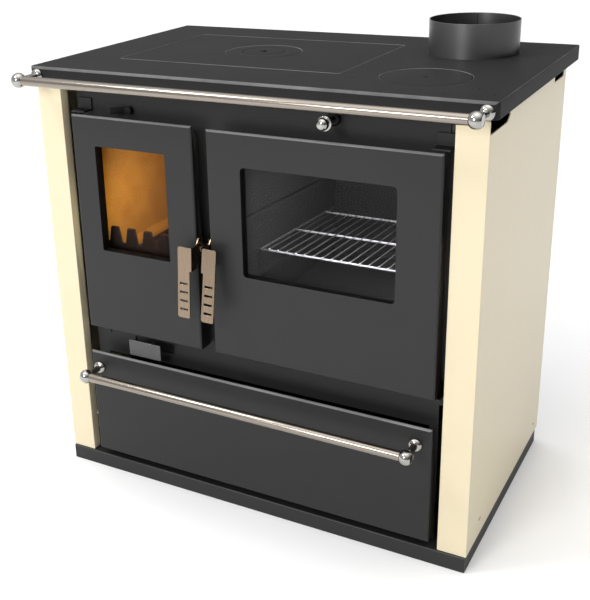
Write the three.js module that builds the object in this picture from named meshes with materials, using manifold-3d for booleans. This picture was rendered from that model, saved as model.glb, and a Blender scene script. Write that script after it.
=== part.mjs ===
// A wood cookstove: firebox on the left, oven on the right, a cooktop with lift-off plates over both and a
// storage drawer below. Millimetres, X to the right, Y to the back, Z up. While it is built, y = 0 is the front
// face of the side panels; the finished group is centred on its own depth, with z = 0 on the floor.
import * as THREE from "three";
import { mergeVertices } from "three/addons/utils/BufferGeometryUtils.js";
import Module from "manifold-3d";

const wasm = await Module();
wasm.setup();

// ---- Driving dimensions ------------------------------------------------------------------------------------

const GAP = 0.3; // between pieces that touch
const RUN = 0.5; // round a pin that turns or a rod that slides
const SHEET = 2.5; // body and door sheet steel

const TOP = { width: 800, depth: 500, height: 760, front: -3, plate: 12, skirt: 25, wall: 6, round: 5 };
const BODY = { width: 778, depth: 453, sheet: 2, flange: 48, lip: 18.4, top: 733 };
const PLINTH = { width: 776, front: -2.5, depth: 445, height: 28, wall: 3 };
const PLATE = { front: 25, halfWidth: 327 }; // the dark front plate, set back behind the doors
const BACK = { front: 448.5, sheet: 2.2 };

const FLUE = { x: 252.2, y: 364.2, radius: 75, wall: 2, height: 56, foot: 82, footThick: 3 };
const LID = { thick: 8, ledge: 9, play: 0.6 };
const BURNER = { x: 251, y: 132, radius: 68.5 };
const INSERT = { left: -296, right: 120, front: 111, back: 395.5, corner: 8 };
const RING = { x: -90, y: 256, radius: 65.7, hole: 36.5, step: 4, ledge: 8, play: 0.4 };

const DOOR = { front: -9, back: 21, bend: 4, lip: 18, pivotInset: 8, pivotY: 7, pin: 4 };
const FIRE_DOOR = { left: -316.6, right: -80.7, bottom: 298.3, top: 686 };
const OVEN_DOOR = { left: -55, right: 329.8, bottom: 299.3, top: 683.7 };
const FIRE_WINDOW = { left: -271.7, right: -133.9, bottom: 450, top: 635, corner: 3 };
const OVEN_WINDOW = { left: 5.3, right: 262.6, bottom: 446.4, top: 628.7, corner: 7 };
const GLASS = { front: 6, thick: 4, margin: 12, frame: 22 };
const SEAL = { inset: 9, width: 9 };

const HANDLE = { width: 26, step: 3.5, length: 121, thick: 2.5, lean: 4.3, pull: 4.7, reach: 32 };
const GRIP_SLOT = { width: 15, high: 3.8, first: -51.5, pitch: 14.8, count: 4 };
const LATCH = { y: 2, z: 480, pin: 3, head: 6 };
const STRIKER = { x: -68, y: 14, z: 484, pin: 3, length: 24.4 };

const FIREBOX = { left: -325, right: -77, front: 27.8, back: 405, floor: 300 };
const FIRE_OPENING = { left: -297, right: -105, bottom: 320, top: 662 };
const BRICK = { thick: 25.2, front: 38, top: 690, ledge: 12, ledgeTop: 424, shoulder: 22 };
const GRATE = { top: 418, thick: 13, slotWidth: 10, slots: 8 };
const RETAINER = { front: 30, thick: 6, foot: 15, valley: 452, top: 480.5 };
const TEETH = { first: -274, pitch: 34.4, count: 5, topWidth: 14, baseWidth: 25 };
const ASH_PAN = { left: -270, right: -132, front: 40, back: 365, height: 88, wall: 2 };

const OVEN = { left: -18, right: 305, bottom: 350, top: 652, back: 400, wall: 2, lip: 2 };
const OVEN_RAILS = { heights: [417, 461.5, 530], front: 40, back: 396, deep: 6, high: 4, fall: 3 };
const RACK = { front: 80, depth: 265, edge: 4, wires: 18, frame: 2.5, wire: 1.3 };
const CASING = { right: 338.5, floor: 318, frontLip: 20 };
const BAFFLE = { bottom: 689, back: 330, port: { left: 110, right: 190, front: 200, back: 280 } };

const DRAWER = { left: -319.6, right: 328.5, bottom: 43.5, top: 248.6, back: 23 };
const BOX = { left: -296, right: 305, bottom: 50, top: 200, back: 420, wall: 2 };
const BOX_OPENING = { left: -303, right: 312, bottom: 34, top: 236 };
const RUNNER = { width: 22, inset: 6, front: 40, back: 430 };

const RAIL = { radius: 8, wall: 1.5, y: -50, ball: 12.5, flat: 9, neck: 6, foot: 11.5 };
const TOP_RAIL = { x: 384, z: 745 };
const DRAWER_RAIL = { x: 302.5, z: 217.5 };
const DAMPER = { x: 150, z: 711.5, rod: 4, knob: 11.5, knobFront: -26, plate: 90 };
const AIR = { left: -243, right: -160, bottom: 258, top: 277, travel: 40 };
const BADGE = { left: -238, right: -172, bottom: 254, top: 283, front: -2, thick: 3 };
const LEVER = { x: -217.6, z: 694, boss: 6, high: 10, spindle: 3, port: 3.5, portInset: 12 };

// ---- Materials ---------------------------------------------------------------------------------------------

const finish = (color, roughness, metalness, extra = {}) =>
  new THREE.MeshStandardMaterial({ color, roughness, metalness, ...extra });

const creamEnamel = finish(0xf4ead0, 0.35, 0.0);
const blackPaint = finish(0x454545, 0.6, 0.1);
const castTop = finish(0x3a3a3a, 0.7, 0.2);
const stainless = finish(0xb8b0a6, 0.3, 1.0);
const chrome = finish(0xd8d8d8, 0.1, 1.0);
const firebrick = finish(0xbf7d30, 0.9, 0.0);
const castBrown = finish(0x2c1c12, 0.8, 0.3);
const plainSteel = finish(0x3a3a3c, 0.5, 0.5);
const sealRope = finish(0x55504a, 0.95, 0.0);
const heatGlass = finish(0xd8e2e6, 0.05, 0.0, { transparent: true, opacity: 0.25 });

// ---- Making solids -----------------------------------------------------------------------------------------

const FINE = 40; // sides of the large round forms

// A closed geometry as a solid that can be joined and cut, turned round if its faces point inwards.
function solidOf(geometry) {
  const bare = geometry.clone();
  bare.deleteAttribute("normal");
  bare.deleteAttribute("uv");
  const merged = mergeVertices(bare, 1e-4);
  const vertProperties = merged.attributes.position.array;
  const triVerts = new Uint32Array(merged.index.array);
  const made = new wasm.Manifold(new wasm.Mesh({ numProp: 3, vertProperties, triVerts }));
  if (made.volume() > 0) return made;
  for (let i = 0; i < triVerts.length; i += 3) {
    [triVerts[i], triVerts[i + 1]] = [triVerts[i + 1], triVerts[i]];
  }
  return new wasm.Manifold(new wasm.Mesh({ numProp: 3, vertProperties, triVerts }));
}

const join = (first, ...rest) => rest.reduce((all, next) => all.add(next), first);
const cut = (solid, ...tools) => tools.reduce((left, tool) => left.subtract(tool), solid);

// A box, given as its range on each axis, either end first.
function block([x0, x1], [y0, y1], [z0, z1]) {
  const geometry = new THREE.BoxGeometry(Math.abs(x1 - x0), Math.abs(y1 - y0), Math.abs(z1 - z0));
  return solidOf(geometry.translate((x0 + x1) / 2, (y0 + y1) / 2, (z0 + z1) / 2));
}

// A shape from a list of its corners.
const outline = (points) => new THREE.Shape(points.map(([u, v]) => new THREE.Vector2(u, v)));

// A shape carried along an axis, either end first. It lies in (y, z) along x, (x, z) along y, (x, y) along z.
function prism(shape, axis, end0, end1) {
  const from = Math.min(end0, end1);
  const depth = Math.abs(end1 - end0);
  const geometry = new THREE.ExtrudeGeometry(shape, { depth, bevelEnabled: false, curveSegments: 4 });
  if (axis === "z") return solidOf(geometry.translate(0, 0, from));
  if (axis === "y") return solidOf(geometry.rotateX(Math.PI / 2).translate(0, from + depth, 0));
  return solidOf(geometry.rotateZ(Math.PI / 2).rotateY(Math.PI / 2).translate(from, 0, 0));
}

// A rectangle with round corners, grown outwards on every side.
function roundedRect({ left, right, bottom, top, corner }, grow = 0) {
  const [l, r, b, t] = [left - grow, right + grow, bottom - grow, top + grow];
  const c = Math.max(corner + grow, 1);
  const shape = new THREE.Shape();
  shape.moveTo(l + c, b);
  shape.lineTo(r - c, b);
  shape.absarc(r - c, b + c, c, -Math.PI / 2, 0, false);
  shape.lineTo(r, t - c);
  shape.absarc(r - c, t - c, c, 0, Math.PI / 2, false);
  shape.lineTo(l + c, t);
  shape.absarc(l + c, t - c, c, Math.PI / 2, Math.PI, false);
  shape.lineTo(l, b + c);
  shape.absarc(l + c, b + c, c, Math.PI, Math.PI * 1.5, false);
  return shape;
}

// Turns a geometry's own Y axis onto the named axis.
const AIM = {
  x: (geometry) => geometry.rotateZ(-Math.PI / 2),
  y: (geometry) => geometry,
  z: (geometry) => geometry.rotateX(Math.PI / 2),
};

// A round bar along an axis from one place to another, either end first; the other two coordinates centre it.
function bar(axis, [x, y, z], radius, end0, end1, sides = 16) {
  const geometry = AIM[axis](new THREE.CylinderGeometry(radius, radius, Math.abs(end1 - end0), sides));
  const middle = (end0 + end1) / 2;
  const centre = { x: [middle, y, z], y: [x, middle, z], z: [x, y, middle] }[axis];
  return solidOf(geometry.translate(...centre));
}

// A profile of [radius, place along the axis] turned round that axis.
function turned(axis, [x, y, z], profile, sides = 24) {
  const points = profile.map(([radius, along]) => new THREE.Vector2(radius, along));
  return solidOf(AIM[axis](new THREE.LatheGeometry(points, sides)).translate(x, y, z));
}

// A ring between two radii.
const washer = (inner, outer, low, high) =>
  [[inner, low], [outer, low], [outer, high], [inner, high], [inner, low]];

const stove = new THREE.Group();

// Puts a finished solid on the stove as a named mesh.
function piece(name, solid, material) {
  const { vertProperties, triVerts } = solid.getMesh();
  const geometry = new THREE.BufferGeometry();
  geometry.setAttribute("position", new THREE.BufferAttribute(vertProperties, 3));
  geometry.setIndex(new THREE.BufferAttribute(triVerts, 1));
  geometry.computeVertexNormals();
  const mesh = new THREE.Mesh(geometry, material);
  mesh.name = name;
  stove.add(mesh);
  return mesh;
}

// ---- Places worked out from the driving dimensions -----------------------------------------------------------

const cooktopUnderside = TOP.height - TOP.plate;
const lidBottom = TOP.height - LID.thick;
const lidSeat = lidBottom - GAP;
const plateBack = PLATE.front + SHEET;
const throughPlate = [PLATE.front - 1, plateBack + 1];
const carcassTop = cooktopUnderside - GAP;
const floorTop = PLINTH.height + GAP;
const topBack = TOP.front + TOP.depth;

// ---- Body ----------------------------------------------------------------------------------------------------

// A shallow steel tray turned upside down, which the whole stove stands on.
function plinth() {
  const half = PLINTH.width / 2;
  const inside = half - PLINTH.wall;
  const back = PLINTH.front + PLINTH.depth;
  const tray = block([-half, half], [PLINTH.front, back], [0, PLINTH.height]);
  const underY = [PLINTH.front + PLINTH.wall, back - PLINTH.wall];
  const under = block([-inside, inside], underY, [-1, PLINTH.height - PLINTH.wall]);
  piece("plinth", cut(tray, under), blackPaint);
}

// A folded side panel: return lip, front flange, side face and rear flange. Its top edge is notched at the
// front, where the rail is bolted on, and at the rear, and two small slots near its foot take the screws.
function sidePanel(name, side) {
  const outer = BODY.width / 2;
  const inner = outer - BODY.flange;
  const rear = outer - BODY.flange / 2;
  const t = BODY.sheet;
  const plan = [
    [inner, BODY.lip],
    [inner, 0],
    [outer, 0],
    [outer, BODY.depth],
    [rear, BODY.depth],
    [rear, BODY.depth - t],
    [outer - t, BODY.depth - t],
    [outer - t, t],
    [inner + t, t],
    [inner + t, BODY.lip],
  ].map(([x, y]) => [side * x, y]);
  const face = [side * (outer - 2 * t), side * (outer + t)];
  const frontNotch = outline([[t, 713.6], [86, 713.6], [100, 722], [100, 740], [t, 740]]);
  const rearNotch = outline([[370, 717], [432, 717], [436, 722], [436, 740], [370, 740]]);
  piece(
    name,
    cut(
      prism(outline(plan), "z", floorTop, BODY.top),
      prism(frontNotch, "x", ...face),
      prism(rearNotch, "x", ...face),
      block(face, [64, 76], [56, 60]),
      block(face, [411, 423], [49, 53]),
    ),
    creamEnamel,
  );
}

function backPanel() {
  const half = BODY.width / 2 - BODY.sheet - GAP;
  const sheet = block([-half, half], [BACK.front, BACK.front + BACK.sheet], [floorTop, carcassTop]);
  piece("back_panel", sheet, blackPaint);
}

// The plate behind the doors, with openings for the firebox, oven, drawer and air slide, and holes for the
// damper rod, the air lever's spindle and its air port.
function frontPlate() {
  const across = [-PLATE.halfWidth, PLATE.halfWidth];
  const { lip } = OVEN;
  const sheet = block(across, [PLATE.front, plateBack], [floorTop, carcassTop]);
  const opening = ({ left, right, bottom, top }) => block([left, right], throughPlate, [bottom, top]);
  const openings = [
    opening(FIRE_OPENING),
    block([OVEN.left + lip, OVEN.right - lip], throughPlate, [OVEN.bottom + lip, OVEN.top - lip]),
    opening(BOX_OPENING),
    opening(AIR),
    bar("y", [DAMPER.x, 0, DAMPER.z], DAMPER.rod + RUN, ...throughPlate),
    bar("y", [LEVER.x, 0, LEVER.z], LEVER.spindle + RUN, ...throughPlate),
    bar("y", [LEVER.x - LEVER.portInset, 0, LEVER.z], LEVER.port, ...throughPlate),
  ];
  piece("front_plate", cut(sheet, ...openings), blackPaint);
}

plinth();
sidePanel("left_side_panel", -1);
sidePanel("right_side_panel", 1);
backPanel();
frontPlate();

// ---- Cooktop and its loose plates ------------------------------------------------------------------------------

const { left, right, corner } = INSERT;
const insertEdge = { left, right, bottom: INSERT.front, top: INSERT.back, corner };

// The cast plate with its turned-down edge, round at the front, and the seats that the loose plates lie in.
function cooktop() {
  const half = TOP.width / 2;
  const low = TOP.height - TOP.skirt;
  const section = new THREE.Shape();
  section.moveTo(TOP.front, low);
  section.lineTo(topBack, low);
  section.lineTo(topBack, TOP.height - 2);
  section.lineTo(topBack - 2, TOP.height);
  section.lineTo(TOP.front + TOP.round, TOP.height);
  section.absarc(TOP.front + TOP.round, TOP.height - TOP.round, TOP.round, Math.PI / 2, Math.PI, false);
  const plan = roundedRect({ left: -half, right: half, bottom: TOP.front, top: topBack, corner: 8 });
  const inside = half - TOP.wall;
  const under = block([-inside, inside], [TOP.front + TOP.wall, topBack - TOP.wall], [low - 1, cooktopUnderside]);
  const burner = [BURNER.x, BURNER.y, 0];
  piece(
    "cooktop",
    cut(
      prism(plan, "z", low, TOP.height).intersect(prism(section, "x", -half, half)),
      under,
      prism(roundedRect(insertEdge, LID.play), "z", lidSeat, TOP.height + 1),
      prism(roundedRect(insertEdge, -LID.ledge), "z", cooktopUnderside - 1, TOP.height + 1),
      bar("z", burner, BURNER.radius + LID.play, lidSeat, TOP.height + 1, FINE),
      bar("z", burner, BURNER.radius - LID.ledge, cooktopUnderside - 1, TOP.height + 1, FINE),
      bar("z", [FLUE.x, FLUE.y, 0], FLUE.radius + GAP, cooktopUnderside - 1, TOP.height + 1, FINE),
    ),
    castTop,
  );
}

// The large loose plate, with a stepped seat for its ring.
function cookingPlate() {
  const centre = [RING.x, RING.y, 0];
  const seat = TOP.height - RING.step - GAP;
  piece(
    "cooking_plate",
    cut(
      prism(roundedRect(insertEdge), "z", lidBottom, TOP.height),
      bar("z", centre, RING.radius + RING.play, seat, TOP.height + 1, FINE),
      bar("z", centre, RING.radius - RING.ledge + RING.play, lidBottom - 1, TOP.height + 1, FINE),
    ),
    castTop,
  );
}

// The ring between the large plate and the centre disc, stepped outside to hang in the one and inside to
// carry the other.
function cookingRing() {
  const step = TOP.height - RING.step;
  const foot = RING.radius - RING.ledge;
  const seatRadius = RING.hole + RING.play;
  const holeRadius = RING.hole - RING.ledge + RING.play;
  const profile = [
    [holeRadius, lidBottom],
    [foot, lidBottom],
    [foot, step],
    [RING.radius, step],
    [RING.radius, TOP.height],
    [seatRadius, TOP.height],
    [seatRadius, step - GAP],
    [holeRadius, step - GAP],
    [holeRadius, lidBottom],
  ];
  piece("cooking_ring", turned("z", [RING.x, RING.y, 0], profile, FINE), castTop);
}

// The small disc in the middle, with the pin that the lifting hook catches.
function centreDisc() {
  const step = TOP.height - RING.step;
  const foot = RING.hole - RING.ledge;
  const profile = [
    [0, lidBottom],
    [foot, lidBottom],
    [foot, step],
    [RING.hole, step],
    [RING.hole, TOP.height],
    [4, TOP.height],
    [3, TOP.height + 2.5],
    [0, TOP.height + 2.5],
  ];
  piece("centre_disc", turned("z", [RING.x, RING.y, 0], profile, FINE), castTop);
}

// The round lid over the oven, with a blind lifting hole.
function burnerLid() {
  const profile = [
    [0, lidBottom],
    [BURNER.radius, lidBottom],
    [BURNER.radius, TOP.height],
    [3.5, TOP.height],
    [3.5, TOP.height - 4],
    [0, TOP.height - 4],
  ];
  piece("burner_lid", turned("z", [BURNER.x, BURNER.y, 0], profile, FINE), castTop);
}

// The flue collar, held by a foot ring under the cooktop.
function flueCollar() {
  const low = carcassTop - FLUE.footThick;
  const bore = FLUE.radius - FLUE.wall;
  const profile = [
    [bore, low],
    [FLUE.foot, low],
    [FLUE.foot, carcassTop],
    [FLUE.radius, carcassTop],
    [FLUE.radius, TOP.height + FLUE.height],
    [bore, TOP.height + FLUE.height],
    [bore, low],
  ];
  piece("flue_collar", turned("z", [FLUE.x, FLUE.y, 0], profile, FINE), blackPaint);
}

cooktop();
cookingPlate();
cookingRing();
centreDisc();
burnerLid();
flueCollar();

// ---- Round rails -----------------------------------------------------------------------------------------------

// One end fitting of a rail: a ball with a flat outer end, a neck and a foot against the face behind it. The
// tube goes into the ball up to its middle.
function railBracket(name, side, { x, z }, faceY) {
  const centre = [side * x, RAIL.y, z];
  const sphere = new THREE.SphereGeometry(RAIL.ball, 16, 10).translate(...centre);
  const foot = [
    [0, -7],
    [RAIL.neck + 0.5, -7],
    [RAIL.foot - 2, -5],
    [RAIL.foot, -2.5],
    [RAIL.foot, -GAP],
    [0, -GAP],
  ];
  const body = join(
    solidOf(sphere),
    bar("y", centre, RAIL.neck, RAIL.y, faceY - 4),
    turned("y", [centre[0], faceY, z], foot, 16),
  );
  const beyond = [side * (x + RAIL.flat), side * (x + RAIL.ball + 1)];
  const outerEnd = block(beyond, [RAIL.y - RAIL.ball, RAIL.y + RAIL.ball], [z - RAIL.ball, z + RAIL.ball]);
  const socket = bar("x", centre, RAIL.radius + GAP, side * (x + GAP), side * (x - 20));
  piece(name, cut(body, outerEnd, socket), chrome);
}

function rail(name, { x, z }) {
  const centre = [0, RAIL.y, z];
  const bore = bar("x", centre, RAIL.radius - RAIL.wall, -x - 1, x + 1);
  piece(name, cut(bar("x", centre, RAIL.radius, -x, x), bore), stainless);
}

rail("top_rail", TOP_RAIL);
railBracket("top_rail_bracket_left", -1, TOP_RAIL, TOP.front);
railBracket("top_rail_bracket_right", 1, TOP_RAIL, TOP.front);

// ---- Firebox ---------------------------------------------------------------------------------------------------

const shellLeft = FIREBOX.left + SHEET;
const shellRight = FIREBOX.right - SHEET;
const shellFloor = FIREBOX.floor + SHEET;

// The welded steel box, open at the front and top and cut away on the oven side for the smoke to cross.
function fireboxShell() {
  const inside = block([shellLeft, shellRight], [0, FIREBOX.back - SHEET], [shellFloor, TOP.height]);
  const crossing = block([shellRight - 1, FIREBOX.right + 1], [40, FIREBOX.back - 25], [BRICK.top, TOP.height]);
  const shell = block([FIREBOX.left, FIREBOX.right], [FIREBOX.front, FIREBOX.back], [FIREBOX.floor, carcassTop]);
  piece("firebox_shell", cut(shell, inside, crossing), plainSteel);
}

// A side lining: a brick wall with a sloped ledge above the grate and a shoulder that the grate rests on.
function sideBrick(name, wallX, inward) {
  const back = FIREBOX.back - SHEET - GAP - BRICK.thick - GAP;
  const low = shellFloor + GAP;
  const face = wallX + inward * (BRICK.thick + GAP);
  const ledge = face + inward * BRICK.ledge;
  const shoulder = face + inward * BRICK.shoulder;
  const grateBottom = GRATE.top - GRATE.thick;
  const section = outline([
    [wallX + inward * GAP, low],
    [shoulder, low],
    [shoulder, grateBottom - GAP],
    [ledge, grateBottom - GAP],
    [ledge, BRICK.ledgeTop],
    [face, BRICK.ledgeTop + 8],
    [face, BRICK.top],
    [wallX + inward * GAP, BRICK.top],
  ]);
  piece(name, prism(section, "y", BRICK.front, back), firebrick);
}

function backBrick() {
  const back = FIREBOX.back - SHEET - GAP;
  const across = [shellLeft + GAP, shellRight - GAP];
  piece("back_firebrick", block(across, [back - BRICK.thick, back], [shellFloor + GAP, BRICK.top]), firebrick);
}

// The cast grate, with two rows of slots for the ash to fall through.
function fireGrate() {
  const reach = BRICK.thick + GAP + BRICK.ledge + GAP;
  const [left, right] = [shellLeft + reach, shellRight - reach];
  const [front, back] = [BRICK.front + GAP, FIREBOX.back - SHEET - BRICK.thick - 3 * GAP];
  const plate = block([left, right], [front, back], [GRATE.top - GRATE.thick, GRATE.top]);
  const pitch = (right - left) / GRATE.slots;
  const rowDepth = (back - front) / 2;
  const slots = [];
  for (let row = 0; row < 2; row++) {
    for (let i = 0; i < GRATE.slots; i++) {
      const x = left + pitch * (i + 0.5);
      const y = front + rowDepth * row;
      const across = [x - GRATE.slotWidth / 2, x + GRATE.slotWidth / 2];
      slots.push(block(across, [y + 12, y + rowDepth - 12], [GRATE.top - GRATE.thick - 1, GRATE.top + 1]));
    }
  }
  piece("fire_grate", cut(plate, ...slots), castBrown);
}

// The toothed bar behind the door that keeps the logs in, on two feet that leave room for the ash pan.
function logRetainer() {
  const [left, right] = [FIRE_OPENING.left - 3, FIRE_OPENING.right + 3];
  const [floor, beam] = [shellFloor + GAP, GRATE.top - GRATE.thick];
  const { foot, valley, top } = RETAINER;
  const points = [[left, floor], [left + foot, floor], [left + foot, beam]];
  points.push([right - foot, beam], [right - foot, floor], [right, floor], [right, valley]);
  for (let i = TEETH.count - 1; i >= 0; i--) {
    const x = TEETH.first + TEETH.pitch * i;
    points.push([x + TEETH.baseWidth / 2, valley], [x + TEETH.topWidth / 2, top]);
    points.push([x - TEETH.topWidth / 2, top], [x - TEETH.baseWidth / 2, valley]);
  }
  points.push([left, valley]);
  const solid = prism(outline(points), "y", RETAINER.front, RETAINER.front + RETAINER.thick);
  piece("log_retainer", solid, castBrown);
}

function ashPan() {
  const { left, right, front, back, height, wall } = ASH_PAN;
  const low = shellFloor + GAP;
  const tray = block([left, right], [front, back], [low, low + height]);
  const inside = block([left + wall, right - wall], [front + wall, back - wall], [low + wall, low + height + 1]);
  piece("ash_pan", cut(tray, inside), plainSteel);
}

fireboxShell();
sideBrick("left_firebrick", shellLeft, 1);
sideBrick("right_firebrick", shellRight, -1);
backBrick();
fireGrate();
logRetainer();
ashPan();

// ---- Oven ------------------------------------------------------------------------------------------------------

const railFall = Math.tan(THREE.MathUtils.degToRad(OVEN_RAILS.fall));

// The oven box, open at the front, with three pressed rails on each side that fall a little to the back.
function ovenLiner() {
  const { left, right, bottom, top, back, wall } = OVEN;
  const shell = block([left - wall, right + wall], [FIREBOX.front, back + wall], [bottom - wall, top + wall]);
  const inside = block([left, right], [0, back], [bottom, top]);
  const drop = (OVEN_RAILS.back - OVEN_RAILS.front) * railFall;
  const rails = OVEN_RAILS.heights.flatMap((z) => {
    const side = outline([
      [OVEN_RAILS.front, z - OVEN_RAILS.high],
      [OVEN_RAILS.back, z - drop - OVEN_RAILS.high],
      [OVEN_RAILS.back, z - drop],
      [OVEN_RAILS.front, z],
    ]);
    return [
      prism(side, "x", left - wall / 2, left + OVEN_RAILS.deep),
      prism(side, "x", right - OVEN_RAILS.deep, right + wall / 2),
    ];
  });
  piece("oven_liner", join(cut(shell, inside), ...rails), plainSteel);
}

// The wire rack: a frame of thicker wire with a cross wire in the middle and thin wires from front to back. It
// is made level, with its front at y = 0, and then laid on the middle rails.
function ovenRack() {
  const [left, right] = [OVEN.left + RACK.edge, OVEN.right - RACK.edge];
  const { depth, frame, wire } = RACK;
  const sideBars = [left + frame, right - frame].map((x) => bar("y", [x, 0, 0], frame, 0, depth, 8));
  const crossBars = [frame, depth / 2, depth - frame].map((y) => bar("x", [0, y, 0], frame, left, right, 8));
  const pitch = (right - left - 2 * frame) / (RACK.wires + 1);
  const wires = [];
  for (let i = 1; i <= RACK.wires; i++) {
    const x = left + frame + pitch * i;
    wires.push(bar("y", [x, 0, frame - wire / 2], wire, frame, depth - frame, 4));
  }
  const rack = piece("oven_rack", join(...sideBars, ...crossBars, ...wires), chrome);
  const railTop = OVEN_RAILS.heights[1] - (RACK.front - OVEN_RAILS.front) * railFall;
  rack.position.set(0, RACK.front, railTop + frame + GAP);
  rack.rotation.x = -THREE.MathUtils.degToRad(OVEN_RAILS.fall);
}

// The outer wall and floor that lead the smoke round the oven, with a lip against the front plate.
function ovenCasing() {
  const { right, floor, frontLip } = CASING;
  const left = FIREBOX.right + RUN;
  const section = outline([
    [left, floor],
    [right, floor],
    [right, carcassTop],
    [right - SHEET, carcassTop],
    [right - SHEET, floor + SHEET],
    [left, floor + SHEET],
  ]);
  const lipY = [FIREBOX.front, FIREBOX.front + SHEET];
  const lip = block([right - frontLip, right - 1], lipY, [floor + 1, carcassTop]);
  piece("oven_casing", join(prism(section, "y", FIREBOX.front, BACK.front - GAP), lip), plainSteel);
}

// The bridge over the oven that carries the smoke to its far side, with a port that the damper closes.
function smokeBaffle() {
  const { port } = BAFFLE;
  const legTop = BAFFLE.bottom + SHEET;
  const low = OVEN.top + OVEN.wall + GAP;
  const [left, right] = [OVEN.left - OVEN.wall, OVEN.right + OVEN.wall];
  const section = outline([
    [left, low],
    [left, legTop],
    [right, legTop],
    [right, low],
    [right - SHEET, low],
    [right - SHEET, BAFFLE.bottom],
    [left + SHEET, BAFFLE.bottom],
    [left + SHEET, low],
  ]);
  const bridge = prism(section, "y", FIREBOX.front, BAFFLE.back);
  const hole = block([port.left, port.right], [port.front, port.back], [BAFFLE.bottom - 1, legTop + 1]);
  piece("smoke_baffle", cut(bridge, hole), plainSteel);
}

ovenLiner();
ovenRack();
ovenCasing();
smokeBaffle();

// ---- Doors -----------------------------------------------------------------------------------------------------

// A folded pan with bent front edges, open at the back inside a return lip; `holes` are cut out at the end.
function pan({ left, right, bottom, top }, { front, back, lip }, ...holes) {
  const r = DOOR.bend;
  const plan = new THREE.Shape();
  plan.moveTo(left, back);
  plan.lineTo(left, front + r);
  plan.absarc(left + r, front + r, r, Math.PI, Math.PI * 1.5, false);
  plan.absarc(right - r, front + r, r, -Math.PI / 2, 0, false);
  plan.lineTo(right, back);
  const side = new THREE.Shape();
  side.moveTo(back, top);
  side.absarc(front + r, top - r, r, Math.PI / 2, Math.PI, false);
  side.absarc(front + r, bottom + r, r, Math.PI, Math.PI * 1.5, false);
  side.lineTo(back, bottom);
  const outer = prism(plan, "z", bottom, top).intersect(prism(side, "x", left, right));
  const cavity = block(
    [left + SHEET, right - SHEET],
    [front + SHEET, back - SHEET],
    [bottom + SHEET, top - SHEET],
  );
  const mouth = block([left + lip, right - lip], [front + SHEET, back + 1], [bottom + lip, top - lip]);
  return cut(outer, cavity, mouth, ...holes);
}

// A door's pivot line, a little in from its hinge edge.
const pivotX = (door, hinge) => (hinge < 0 ? door.left + DOOR.pivotInset : door.right - DOOR.pivotInset);

// The door's sheet-steel pan, with its window edge turned in to the glass.
function doorPanel(name, door, window, hinge) {
  const pivot = [pivotX(door, hinge), DOOR.pivotY, 0];
  const latchEdge = hinge < 0 ? door.right : door.left;
  const shell = pan(
    door,
    DOOR,
    bar("z", pivot, DOOR.pin + RUN, door.bottom - 1, door.top + 1),
    bar("x", [0, LATCH.y, LATCH.z], LATCH.pin + GAP, latchEdge - 4, latchEdge + 4),
  );
  const glassSide = GLASS.front - GAP;
  const turnedEdge = prism(roundedRect(window, SHEET), "y", DOOR.front + SHEET / 2, glassSide);
  const through = prism(roundedRect(window), "y", DOOR.front - 1, glassSide + 1);
  piece(name, cut(join(shell, turnedEdge), through), blackPaint);
}

function doorGlass(name, window) {
  const { left, right, bottom, top } = window;
  const m = GLASS.margin;
  const pane = block([left - m, right + m], [GLASS.front, GLASS.front + GLASS.thick], [bottom - m, top + m]);
  piece(name, pane, heatGlass);
}

// The flat frame that presses the glass forward, on four legs that reach the door sheet beyond the glass.
function glassFrame(name, window) {
  const { left, right, bottom, top } = window;
  const front = GLASS.front + GLASS.thick + GAP;
  const back = front + SHEET;
  const reach = GLASS.frame;
  const flat = cut(
    block([left - reach, right + reach], [front, back], [bottom - reach, top + reach]),
    block([left - 2, right + 2], [front - 1, back + 1], [bottom - 2, top + 2]),
  );
  const legs = [];
  for (const x of [left - reach, right + reach - 8]) {
    for (const z of [bottom - reach, top + reach - 20]) {
      legs.push(block([x, x + 8], [DOOR.front + SHEET + GAP, back], [z, z + 20]));
    }
  }
  piece(name, join(flat, ...legs), plainSteel);
}

// The rope seal round the back of the door.
function doorSeal(name, door) {
  const edge = { ...door, corner: 20 };
  const ring = (inset) => prism(roundedRect(edge, -inset), "y", DOOR.back + GAP, PLATE.front - GAP);
  piece(name, cut(ring(SEAL.inset), ring(SEAL.inset + SEAL.width)), sealRope);
}

// A hinge bracket on the front plate, above or below the door, with a pin that goes into the door's edge.
function hingeBracket(name, door, hinge, up) {
  const x = pivotX(door, hinge);
  const edge = up > 0 ? door.top : door.bottom;
  const at = (distance) => edge + up * distance;
  const across = [x - 13, x + 13];
  const back = PLATE.front - GAP;
  const arm = block(across, [1, back], [at(1), at(4)]);
  const foot = block(across, [back - SHEET, back], [at(1), at(22)]);
  const pin = bar("z", [x, DOOR.pivotY, 0], DOOR.pin, at(-7), at(2));
  piece(name, join(arm, foot, pin), blackPaint);
}

// The pin on the door's free edge that its handle turns on, with a head outside the handle.
function latchPin(name, door, hinge) {
  const edge = hinge < 0 ? door.right : door.left;
  const out = -hinge;
  const centre = [0, LATCH.y, LATCH.z];
  const headStart = edge + out * (GAP + HANDLE.thick + GAP);
  const shank = bar("x", centre, LATCH.pin, edge - out * 8, headStart);
  const head = bar("x", centre, LATCH.head, headStart, headStart + out * 2.4);
  piece(name, join(shank, head), stainless);
}

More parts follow.
